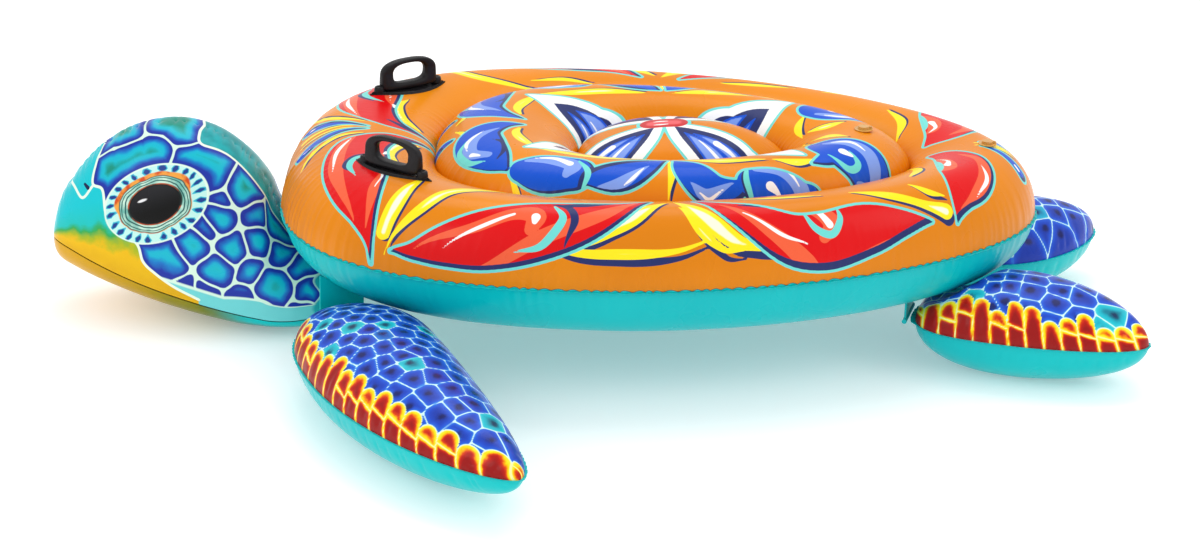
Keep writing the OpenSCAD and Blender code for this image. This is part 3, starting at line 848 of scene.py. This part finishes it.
def flipper_layers(shape, grid, u, seed):
    """Blue plates over most of the top, and long flame plates along the leading edge."""
    rng = np.random.default_rng(seed)
    length = shape[3]
    sites = []
    along = 8.0
    row = 0
    while along < length - 10:
        step = 17 + 27 * min(1, along / length * 1.5)
        half = float(flipper_half_width(shape, np.array(along)))
        across = 37 if along > length * 0.16 else 52
        count = max(1, int(round(2.35 * half / across)))
        for k in range(count):
            c = (k + 0.5 + (0.5 if row % 2 else 0) - 0.25) / count * 2 - 1
            wobble = rng.uniform(-0.22, 0.22, 2)
            sites.append((along + wobble[0] * step, np.clip(c + wobble[1] / count, -0.97, 0.97) * half))
        along += step
        row += 1
    su, sv = np.array(sites).T
    spots = flipper_surface(shape, su, sv, 1)
    radii = rng.uniform(6, 15, len(spots))
    tones = rng.uniform(0, 1, len(spots))
    cells = cell_layers(grid.reshape(-1, 3), spots, radii, np.arange(len(spots)), tones, 1.6)
    border, core, tone = (values.reshape(grid.shape[:2]) for values in cells)

    pitch = 33 if length > 500 else 28
    steps = np.linalg.norm(np.diff(grid, axis=1), axis=2)
    inward = np.concatenate((np.zeros((len(grid), 1)), np.cumsum(steps, axis=1)), axis=1)
    place_on = (u + 0.42 * inward * np.clip(u / length, 0.1, 1)) / pitch + 0.35
    index = np.floor(place_on).astype(int)
    reach = rng.uniform(50, 78, index.max() + 3)[index]
    reach = reach * np.clip(1.15 - 0.45 * u / length, 0.5, 1) * np.clip(0.55 + u / length * 2, 0.55, 1)
    cut = reach * rng.uniform(0.38, 0.58, index.max() + 3)[index]
    whole = rng.random(index.max() + 3)[index] > 0.7
    beside = (place_on - index - 0.5) * pitch
    beyond = np.maximum(inward - (reach - pitch / 2), 0)
    flame = np.hypot(beside, beyond) - pitch / 2
    hot = flame < 0
    edge = np.minimum(-flame, np.where(whole, FAR, np.abs(inward - cut + 0.25 * beside)))
    border = np.where(hot, edge, np.minimum(border, flame))
    warmth = edge * (1.3 + 2.2 * np.clip((reach - pitch / 2 - inward) / 26, 0, 1))
    return {"border": border, "core": core, "tone": tone, "hot": hot.astype(float),
            "warmth": np.maximum(warmth, 0)}


def scale_material():
    """Printed flipper scales: blue plates with dark middles and red plates with yellow rims."""
    paint = Paint("printed_scale_vinyl")
    border = paint.attribute("border")
    mottle = paint.noise(70, 4)
    depth = paint.stir(border, mottle, 5)
    blue = paint.ramp(depth, {0: "2F8FE6", 3: "2458D2", 8: "1D45BC", 14: "1A3AA8"})
    cyan = paint.ramp(depth, {0: "5FE0DC", 3: "22C0D0", 8: "18AFC2", 14: "127E94"})
    cool = paint.mix(paint.band(paint.attribute("tone"), 0.84, 0.86), blue, cyan)
    dark = paint.inside(paint.stir(paint.attribute("core"), mottle, 16), 6.5, 4)
    cool = paint.mix(paint.math("MULTIPLY", dark, 0.85), cool, "16174C")
    warmth = paint.stir(paint.attribute("warmth"), mottle, 16)
    fire = paint.ramp(warmth, {
        0: "FFF23C", 5: "FBD800", 8: "F49000", 11: "D83A08", 15: "B8180C", 24: "98100E"})
    hot = paint.attribute("hot")
    paint.base = paint.mix(paint.inside(hot, 0.5, 0.01), fire, cool)
    line = paint.mix(paint.inside(hot, 0.5, 0.4), "F8F4A8", "D2F6F2")
    paint.cover(border, line, 1.0, 0.4)
    return paint.finish()


def make_flipper(name, shape, mirror, scales, teal, seed):
    """The two sheets of one flipper and its welded lip."""
    body = name + "_flipper"
    u, v = flipper_rows(shape, 300 if shape[3] > 500 else 220, 140)
    sheets = ((1, "top", scales, "printed_scale_vinyl"), (-1, "bottom", teal, "teal_vinyl"))
    for side, part, vinyl, slot in sheets:
        grid = flipper_surface(shape, u, v, side)
        layers = flipper_layers(shape, grid, u, seed) if side > 0 else None
        grid = pucker_flipper(shape, grid, u, v, side, seed)
        grid = on_side(grid, mirror)
        piece = grid_piece(f"{body}_{part}_skin", grid, body, vinyl, layers, flip=(side > 0) == mirror)
        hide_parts(f"{body}_{part}")
    turn = np.linspace(0, 2 * math.pi, 700, endpoint=False)
    tip = np.cos(turn) > 0
    e = 2 / np.where(tip, TIP_POWER, shape[7])
    widest = shape[3] * shape[6]
    eu = widest + np.where(tip, shape[3] - widest, widest) * signed_power(np.cos(turn), e)
    ev = shape[4] / 2 * signed_power(np.sin(turn), e)
    x, y = flipper_plan(shape, eu, ev)
    line, outward = (on_side(rows, mirror) for rows in level_seam(x, y, FLIPPER_SEAM_Z))
    root_tab = np.where(eu < 20, np.clip((shape[4] / 6 + 12 - np.abs(ev)) / 8, 0, 1), 0) * ROOT_LIP
    if mirror:
        line, outward, root_tab = line[::-1], outward[::-1], root_tab[::-1]
    strip = seam_strip(f"{body}_seam", line, outward, FLIPPER_LIP, 1.2, body, teal, seed + 3, 13, root_tab)


def pucker_flipper(shape, grid, u, v, side, seed):
    """Folds that run in from the seam on both edges."""
    half = np.maximum(flipper_half_width(shape, u), 1)
    length = shape[3]
    depth = np.zeros(u.shape)
    for edge in (-1, 1):
        run = np.clip(u[:, 0], 0, length)
        folds = creases(run, length * 3, int(length * 3 / 23), 4.2, seed + 7 * edge + 10 * side, 2.4)
        inward = (1 - edge * v / half) * half
        depth += folds[:, None] * np.exp(-np.maximum(inward, 0) / 9) * np.clip(inward / 2.5, 0, 1)
    end = np.clip((length - u) / 12, 0, 1) * np.clip(u / 12, 0, 1)
    return grid - grid_normals(grid) * (depth * end)[..., None] * side * normal_sign(grid)


def normal_sign(grid):
    """One if the grid's normals point up in its middle, or minus one if they point down."""
    middle = grid_normals(grid)[grid.shape[0] // 2, grid.shape[1] // 2, 2]
    return math.copysign(1, middle)


# ---- head ----
def head_curves(count):
    """Smooth cross-sections of the head from nose to neck, evenly spaced along the crest."""
    rows = smooth_curve(HEAD_ROWS, 40)
    run = np.concatenate(((0,), np.cumsum(np.hypot(np.diff(rows[:, 0]), np.diff(rows[:, 1])))))
    spots = np.linspace(0, run[-1], count)
    return np.stack([np.interp(spots, run, rows[:, k]) for k in range(5)], -1)


def head_point(x, t):
    """A place on the head's left side: t runs from 0 at the crest to 1 at the mouth seam."""
    rows = smooth_curve(HEAD_ROWS, 40)
    crest, mouth, half = (np.interp(x, rows[:, 0], rows[:, k]) for k in (1, 2, 4))
    turn = np.asarray(t) * math.pi / 2
    y = -half * np.sin(turn) ** HEAD_ROUNDNESS
    z = mouth + (crest - mouth) * np.cos(turn) ** HEAD_ROUNDNESS
    return np.stack(np.broadcast_arrays(x, y, z), -1)


# Plates of the head: one or more places (x, t, radius) that make one plate
HEAD_PLATES = [
    [(-790, 0.06, 22), (-765, 0.12, 26)],
    [(-700, 0.04, 34), (-668, 0.10, 38)],
    [(-785, 0.40, 20), (-752, 0.38, 34), (-715, 0.34, 26)],
    [(-645, 0.36, 34), (-625, 0.40, 32)],
    [(-570, 0.36, 30)],
    [(-603, 0.52, 15)],
    [(-606, 0.62, 22)],
    [(-552, 0.45, 22)],
    [(-525, 0.26, 26)],
    [(-634, 0.71, 15)],
    [(-652, 0.80, 24)],
    [(-584, 0.73, 21)],
    [(-546, 0.60, 23)],
    [(-514, 0.47, 18)],
    [(-694, 0.885, 30)],
    [(-610, 0.87, 23)],
    [(-558, 0.80, 13)],
    [(-488, 0.52, 12)],
    [(-516, 0.76, 28)],
    [(-625, 0.965, 13)],
    [(-573, 0.94, 16)],
    [(-664, 0.975, 9)],
    [(-538, 0.97, 10)],
    [(-470, 0.72, 16)],
    [(-478, 0.92, 14)],
]
# Painted lines on the head, and the ends of its plated part
SNOUT_LINE = [(-803, 0.02), (-806, 0.14), (-811, 0.28), (-815, 0.48), (-798, 0.56), (-792, 0.72),
              (-780, 0.81), (-742, 0.85), (-731, 0.92), (-712, 0.95), (-682, 0.975), (-640, 0.99)]
NOSE_LINE = [(-814, 0.50), (-834, 0.56), (-852, 0.27), (-858, 0.05)]
BAND_LINE = [(-642, 0.0), (-646, 0.12), (-640, 0.225), (-596, 0.19), (-543, 0.20), (-512, 0.14), (-470, 0.2)]
NOSTRIL = [(-829, 0.44, 2.2), (-823, 0.50, 3.4)]
EYE_MIDDLE = (-711, 0.655)
EYE_LONG = 43
EYE_TALL = 29
EYE_RING = 2.05  # outer edge of the scales round the eye, in eye sizes
NECK_END = -452  # where the plates give way to plain teal
NECK_BULGE = 8


def polyline_distance(points, line):
    track = smooth_curve(line, 8)
    spine = head_point(track[:, 0], np.clip(track[:, 1], 0, 1))
    return stroke_distance(points, np.column_stack((spine, np.zeros(len(spine)))))


def head_layers(grid, x, t):
    """Plates, zones, lines and the eye's own coordinates, as distances on the head."""
    points = grid.reshape(-1, 3)
    rng = np.random.default_rng(8)
    spots = [(head_point(px, pt), r, k) for k, plate in enumerate(HEAD_PLATES) for px, pt, r in plate]
    sites = np.array([s[0] for s in spots])
    radii = np.array([float(s[1]) for s in spots])
    plates = np.array([s[2] for s in spots])
    tones = rng.uniform(0, 1, len(HEAD_PLATES))
    border, core, tone = cell_layers(ripple(points, 15, 1.8), sites, radii, plates, tones, 3.8)

    snout = polyline_distance(points, SNOUT_LINE)
    nose = polyline_distance(points, NOSE_LINE)
    band = polyline_distance(points, BAND_LINE)
    xs, ts = x.ravel(), t.ravel()
    line_x, line_t = np.array(SNOUT_LINE).T
    in_snout = xs < np.interp(ts, line_t, line_x)
    band_x, band_t = np.array(BAND_LINE)[2:].T
    in_band = (ts < np.interp(xs, band_x, band_t)) & (xs > -644)
    zone = np.where(in_snout, -snout, snout)
    strap = np.where(in_band, -band, band)

    middle = head_point(*EYE_MIDDLE)
    forward = unit(head_point(-752, 0.70) - head_point(-670, 0.57))
    outward = unit(np.cross(forward, head_point(-711, 0.60) - head_point(-711, 0.71)))
    upward = np.cross(outward, forward)
    upward = upward * np.sign(upward[2])
    offset = points - middle
    lines = np.minimum(np.minimum(snout, nose), band)
    eye_a, eye_b = -(offset @ forward) / EYE_LONG, (offset @ upward) / EYE_TALL
    ring = (np.hypot(eye_a, eye_b) - EYE_RING) * 32
    rear = (NECK_END - xs) + 6 * np.sin(ts * 19)
    chin = (1 - ts) * 200 - 7 - 26 * np.clip((xs + 600) / 200, 0, 1)
    border = np.minimum.reduce((border, np.abs(snout), np.abs(band), np.abs(ring), np.abs(rear)))
    border = np.minimum(border, np.maximum(chin, 0))
    return {
        "border": border, "core": core, "tone": tone, "zone": zone, "strap": strap, "line": lines,
        "eye_a": eye_a, "eye_b": eye_b, "rear": rear, "chin": chin, "low": (1 - ts) * 90,
        "nostril": stroke_distance(points, np.array([(*head_point(px, pt), r) for px, pt, r in NOSTRIL])),
    }


def head_material():
    """Printed head: plated skin, a beak that turns from cyan to yellow, a crest band and an eye."""
    paint = Paint("printed_scale_vinyl_head")
    mottle = paint.noise(32, 5)
    border = paint.attribute("border")
    paint.base = paint.ramp(paint.stir(border, mottle, 12), {
        0: "1B2C96", 6: "1E35A4", 11: "1479C4", 15: "10B2CE", 20: "12B8C8", 27: "12907E", 34: "0F7F70"})
    paint.cover(border, "D6F2E0", 1.9, 0.6)
    paint.cover(paint.attribute("chin"), "6FD2D4", 0, 0.6)
    paint.cover(paint.attribute("rear"), "1FA9B2", 0, 4)
    beak = paint.ramp(paint.stir(paint.attribute("low"), mottle, 16), {
        -4: "D8A404", 7: "E8B805", 11: "A8B41C", 15: "2FA44E", 20: "14BEB8", 34: "10C4CE"})
    paint.cover(paint.attribute("strap"), paint.two_tone(mottle, "10A8AE", "0C8F94"))
    paint.cover(paint.attribute("zone"), beak)
    paint.cover(paint.attribute("line"), "E8F7E4", 2.2, 0.6)
    paint.cover(paint.attribute("nostril"), "14204A")
    paint_eye(paint)
    return paint.finish()


def paint_eye(paint):
    """The eye and its lids, in rings round its middle; all but the ball wander a little."""
    a = paint.attribute("eye_a")
    b = paint.attribute("eye_b")
    ring = paint.math("SQRT", paint.squares(a, b))
    mottle = paint.noise(60, 4)
    loose = paint.stir(ring, paint.noise(26, 2), 0.34)
    # a ring of small scales with dark middles
    turn = paint.math("MULTIPLY", paint.math("ARCTAN2", b, a), 24)
    beads = paint.math("SINE", paint.math("ADD", turn, paint.math("MULTIPLY", paint.noise(22, 2), 9)))
    spot = paint.math("MULTIPLY", paint.math("ABSOLUTE", paint.math("SUBTRACT", loose, 1.84)), 5)
    spot = paint.math("SUBTRACT", spot, beads)
    scales = paint.mix(paint.inside(spot, 0.5, 0.2), "BFEFE6", "36BAD2")
    scales = paint.mix(paint.inside(spot, -0.1, 0.25), scales, "1C3C8C")
    paint.cover(ring, "DFF5E6", 2.08, 0.03)
    paint.cover(ring, scales, 2.02, 0.02)
    # the warm crease, widest over the eye
    above = paint.band(b, -0.2, 0.9, 1.5, 1.68)
    crease = paint.math("SUBTRACT", loose, above)
    paint.cover(crease, paint.two_tone(mottle, "D04A18", "F0A040", 0.4, 0.6), 0, 0.03)
    paint.cover(loose, "1F5550", 1.47, 0.02)
    paint.cover(loose, paint.two_tone(mottle, "CDEEDB", "6FB5A8", 0.3, 0.7), 1.43, 0.02)
    for at, wide in ((1.35, 0.022), (1.2, 0.03)):
        thin = paint.math("ABSOLUTE", paint.math("SUBTRACT", loose, at))
        paint.cover(thin, "23605C", wide, 0.015)
    paint.cover(ring, paint.two_tone(mottle, "B8502A", "2A3A34", 0.4, 0.6), 1.1, 0.02)
    paint.cover(ring, "0C1616", 1.04, 0.02)
    paint.cover(ring, paint.two_tone(b, "040404", "222226", -0.5, 0.95), 0.98, 0.02)
    across = paint.math("MULTIPLY", paint.math("ADD", a, 0.4), 1.6)
    upward = paint.math("MULTIPLY", paint.math("SUBTRACT", b, 0.42), 4.2)
    paint.cover(paint.squares(across, upward), "E8E8EA", 0.09, 0.05)


def throat_material():
    """The lower jaw: gold at the chin, olive further back, teal at the neck."""
    paint = Paint("throat_vinyl")
    along = paint.attribute("along")
    paint.base = paint.ramp(paint.stir(along, paint.noise(20, 4), 90), {
        -900: "D8A204", -800: "C99A05", -700: "A08A08", -630: "6F7A1E", -560: "20908A", -400: TEAL})
    beside_lip = paint.band(paint.attribute("side"), 0.90, 0.99)
    behind_chin = paint.band(along, -620, -540)
    paint.base = paint.mix(paint.math("MULTIPLY", beside_lip, behind_chin), paint.base, TEAL)
    return paint.finish()


def make_head(head_vinyl, throat_vinyl, teal):
    """The two side panels, the throat panel and the bulged panel that closes the neck."""
    rows = head_curves(400)
    turn = np.linspace(0, 1, 190)
    x = np.broadcast_to(rows[:, :1], (len(rows), len(turn)))
    t = np.broadcast_to(turn[None, :], x.shape)
    crest, mouth, throat, half = (rows[:, k:k + 1] for k in (1, 2, 3, 4))
    left = np.stack((x, -half * np.sin(t * math.pi / 2) ** HEAD_ROUNDNESS,
                     mouth + (crest - mouth) * np.cos(t * math.pi / 2) ** HEAD_ROUNDNESS), -1)
    layers = head_layers(left, x, t)
    left = pucker_head(left, rows)
    for name, grid, flip in (("head_left_side", left, False), ("head_right_side", mirrored(left), True)):
        piece = grid_piece(name, grid, "head", head_vinyl, layers, flip=flip)
        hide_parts(name.replace("side", "panel"))

    across = np.sin(np.linspace(-math.pi / 2, math.pi / 2, 90))
    drop = (mouth - throat - 0.4) * arch(np.abs(across[None, :]) ** 1.2 * 0.9995)
    jaw = np.stack(np.broadcast_arrays(rows[:, :1], half * across[None, :], mouth - 0.4 - drop), -1)
    layers = {"along": jaw[..., 0].copy(), "side": np.abs(across) + np.zeros(drop.shape)}
    piece = grid_piece("head_throat", jaw, "head", throat_vinyl, layers, flip=True)
    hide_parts("head_throat_panel")

    rim = np.vstack((left[-1], jaw[-1][1:-1], mirrored(left[-1])[:0:-1]))
    middle = np.array((rows[-1, 0], 0, rim[:, 2].mean()))
    shares = np.sin(np.linspace(math.pi / 2, 0.01, 24))
    cap = middle + (rim[None] - middle) * shares[:, None, None]
    cap[..., 0] += NECK_BULGE * arch(shares)[:, None]
    piece = grid_piece("head_neck_cap", cap, "head", teal, closed=True)
    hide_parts("neck_panel")


def pucker_head(grid, rows):
    """Rounded bumps along the crest and nose seam."""
    run = np.concatenate(((0,), np.cumsum(np.hypot(np.diff(rows[:, 0]), np.diff(rows[:, 1])))))
    rng = np.random.default_rng(31)
    phase = run / 17 + np.interp(run, np.linspace(0, run[-1], 30), rng.uniform(-0.7, 0.7, 30))
    fold = 1 - np.abs(np.sin(math.pi * phase)) ** 0.6
    strength = np.interp(rows[:, 0], (-889, -870, -600, -500), (0, 1, 0.8, 0.3))
    inward = np.linalg.norm(grid - grid[:, :1], axis=2)
    depth = (5.5 * fold * strength)[:, None] * np.exp(-inward / 13)
    return grid - outward_normals(grid, grid * np.array((1, 0, 0)) + np.array((0, 0, 120))) * depth[..., None]


# ---- handles ----
def superellipse(count, half_x, half_z, power_up, power_down, middle):
    a = np.linspace(0, 2 * math.pi, count, endpoint=False)
    e = 2 / np.where(np.sin(a) > 0, power_up, power_down)
    return half_x * signed_power(np.cos(a), e), middle + half_z * signed_power(np.sin(a), e)


def handle_frame(points, mirror):
    """Turns points given on the handle's own axes onto the shell."""
    turn = math.radians(HANDLE_TURN)
    x = HANDLE_SPOT[0] + points[..., 0] * math.cos(turn) - points[..., 1] * math.sin(turn)
    y = HANDLE_SPOT[1] + points[..., 0] * math.sin(turn) + points[..., 1] * math.cos(turn)
    return on_side(np.stack((x, y, points[..., 2] + HANDLE_LIFT), -1), mirror)


def make_handle(side, plastic):
    mirror = side == "left"
    count, section_count = 120, 28
    ox, oz = superellipse(count, 53, 25.5, 2.6, 7, 26.5)
    ix, iz = superellipse(count, 31, 16, 2.6, 3.4, 28.5)
    section = np.linspace(0, 2 * math.pi, section_count, endpoint=False)
    across = 0.5 + 0.5 * signed_power(np.cos(section), 0.55)
    depth = 10 * signed_power(np.sin(section), 0.6)
    x = ix[:, None] + (ox - ix)[:, None] * across[None, :]
    z = iz[:, None] + (oz - iz)[:, None] * across[None, :]
    waist = 0.72 + 0.28 * np.clip((32 - z) / 24, 0, 1)
    grid = np.stack((x, depth[None, :] * waist, z), -1)
    faces = grid_faces(count + 1, section_count, True, mirror)
    faces = [[k % (count * section_count) for k in face] for face in faces]
    points = handle_frame(grid, mirror).reshape(-1, 3)
    piece = mesh_piece(f"{side}_handle_grip", points, faces, "shell", plastic)
    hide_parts(f"{side}_handle")
    make_flange(f"{side}_handle_flange", f"{side}_handle", 1, 3.2, mirror, plastic)
    make_flange(f"{side}_handle_weld", f"{side}_handle_patch", PATCH_SCALE, 1.2, mirror, plastic)
    turn = np.linspace(0, 2 * math.pi, 40, endpoint=False)
    for end, middle in (("front", -BOSS_SPOT), ("back", BOSS_SPOT)):
        rows = [np.stack((middle + r * np.cos(turn), r * np.sin(turn), np.full(len(turn), h)), -1)
                for r, h in BOSS_PROFILE]
        grid = handle_frame(np.stack(rows), mirror)
        knob = grid_piece(f"{side}_handle_boss_{end}", grid, "shell", plastic, closed=True, flip=mirror)


def make_flange(name, node, scale, thick, mirror, plastic):
    """A long pointed oval that lies on the shell, with a raised rim and a soft edge."""
    length, width = HANDLE_LENGTH * scale, HANDLE_FLANGE_WIDTH * scale
    radius = ((length / 2) ** 2 + (width / 2) ** 2) / width
    u = np.linspace(-1, 1, 90) * length / 2
    half = np.sqrt(np.maximum(radius ** 2 - u ** 2, 0)) - (radius - width / 2)
    half = np.maximum(half, 0.3)
    rows = np.stack([np.stack((u, half * c, np.full(len(u), h * thick)), -1) for c, h in FLANGE_PROFILE])
    grid = handle_frame(rows, False)
    ground = top_height(shell_share(grid[..., 0], grid[..., 1]))
    grid[..., 2] = ground + 0.8 + rows[..., 2]
    piece = grid_piece(name, on_side(grid, mirror), "shell", plastic, flip=not mirror)
    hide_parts(node)


# ---- CAD parts that keep their shape ----
def dress_cad_parts(teal, clear):
    for name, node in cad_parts.items():
        vinyl = clear if "valve" in name else teal
        node.data.materials.clear()
        node.data.materials.append(vinyl)


# ---- studio ----
FLOOR_Z = -0.0005
FLOOR_GLOW = 0.24  # keeps the shadows as light as in a bright studio


def make_camera():
    """The camera stands well back on the float's left, a little above it."""
    yaw, rise, roll = -0.0231, 0.3835, -0.0358
    back = Vector((math.sin(yaw) * math.cos(rise), -math.cos(yaw) * math.cos(rise), math.sin(rise)))
    right = Vector((math.cos(yaw), math.sin(yaw), 0))
    up = back.cross(right)
    x = right * math.cos(roll) - up * math.sin(roll)
    y = right * math.sin(roll) + up * math.cos(roll)
    data = bpy.data.cameras.new("camera")
    data.sensor_width = 36
    data.lens = 83.6
    camera = bpy.data.objects.new("camera", data)
    turn = Matrix((x, y, back)).transposed().to_4x4()
    camera.matrix_world = Matrix.Translation((-0.0841, -4.2546, 1.7891)) @ turn
    bpy.context.scene.collection.objects.link(camera)
    bpy.context.scene.camera = camera


def area_light(name, spot, aim, size, power):
    data = bpy.data.lights.new(name, "AREA")
    data.shape = "RECTANGLE"
    data.size, data.size_y = size
    data.energy = power
    light = bpy.data.objects.new(name, data)
    turn = (Vector(aim) - Vector(spot)).to_track_quat("-Z", "Y")
    light.matrix_world = Matrix.Translation(spot) @ turn.to_matrix().to_4x4()
    bpy.context.scene.collection.objects.link(light)


def make_studio():
    scene = bpy.context.scene
    scene.view_settings.view_transform = "Standard"
    scene.world = scene.world or bpy.data.worlds.new("studio")
    scene.world.use_nodes = True
    sky = scene.world.node_tree.nodes["Background"]
    sky.inputs["Color"].default_value = (1, 1, 1, 1)
    sky.inputs["Strength"].default_value = 0.88
    area_light("overhead", (0.2, 0.9, 3.2), (0, 0, 0.2), (3.2, 1.8), 36)
    area_light("front_left", (-2.6, -2.6, 2.4), (-0.1, 0, 0.2), (1.8, 1.8), 20)
    area_light("right", (2.8, -1.2, 2.0), (0.3, 0, 0.2), (1.2, 1.6), 9)
    mesh = bpy.data.meshes.new("floor")
    corners = [(x, y, FLOOR_Z) for x, y in ((-9, -9), (9, -9), (9, 14), (-9, 14))]
    mesh.from_pydata(corners, [], [(0, 1, 2, 3)])
    floor = bpy.data.objects.new("floor", mesh)
    scene.collection.objects.link(floor)
    white = bpy.data.materials.new("floor")
    white.use_nodes = True
    shader = white.node_tree.nodes["Principled BSDF"]
    shader.inputs["Base Color"].default_value = (0.95, 0.95, 0.95, 1)
    shader.inputs["Roughness"].default_value = 0.6
    shader.inputs["Emission Color"].default_value = (1, 1, 1, 1)
    shader.inputs["Emission Strength"].default_value = FLOOR_GLOW
    mesh.materials.append(white)


make_camera()
make_studio()
teal_vinyl = teal_material()
dress_cad_parts(teal_vinyl, clear_material())
make_shell(shell_print_material(), teal_vinyl)
make_shell_seam(teal_vinyl)
make_head(head_material(), throat_material(), teal_vinyl)
scale_vinyl = scale_material()
for pair, shape, seed in (("front", FRONT_FLIPPER, 40), ("hind", HIND_FLIPPER, 60)):
    for hand in ("left", "right"):
        make_flipper(f"{pair}_{hand}", shape, hand == "right", scale_vinyl, teal_vinyl, seed)
plastic = plastic_material()
for hand in ("left", "right"):
    make_handle(hand, plastic)
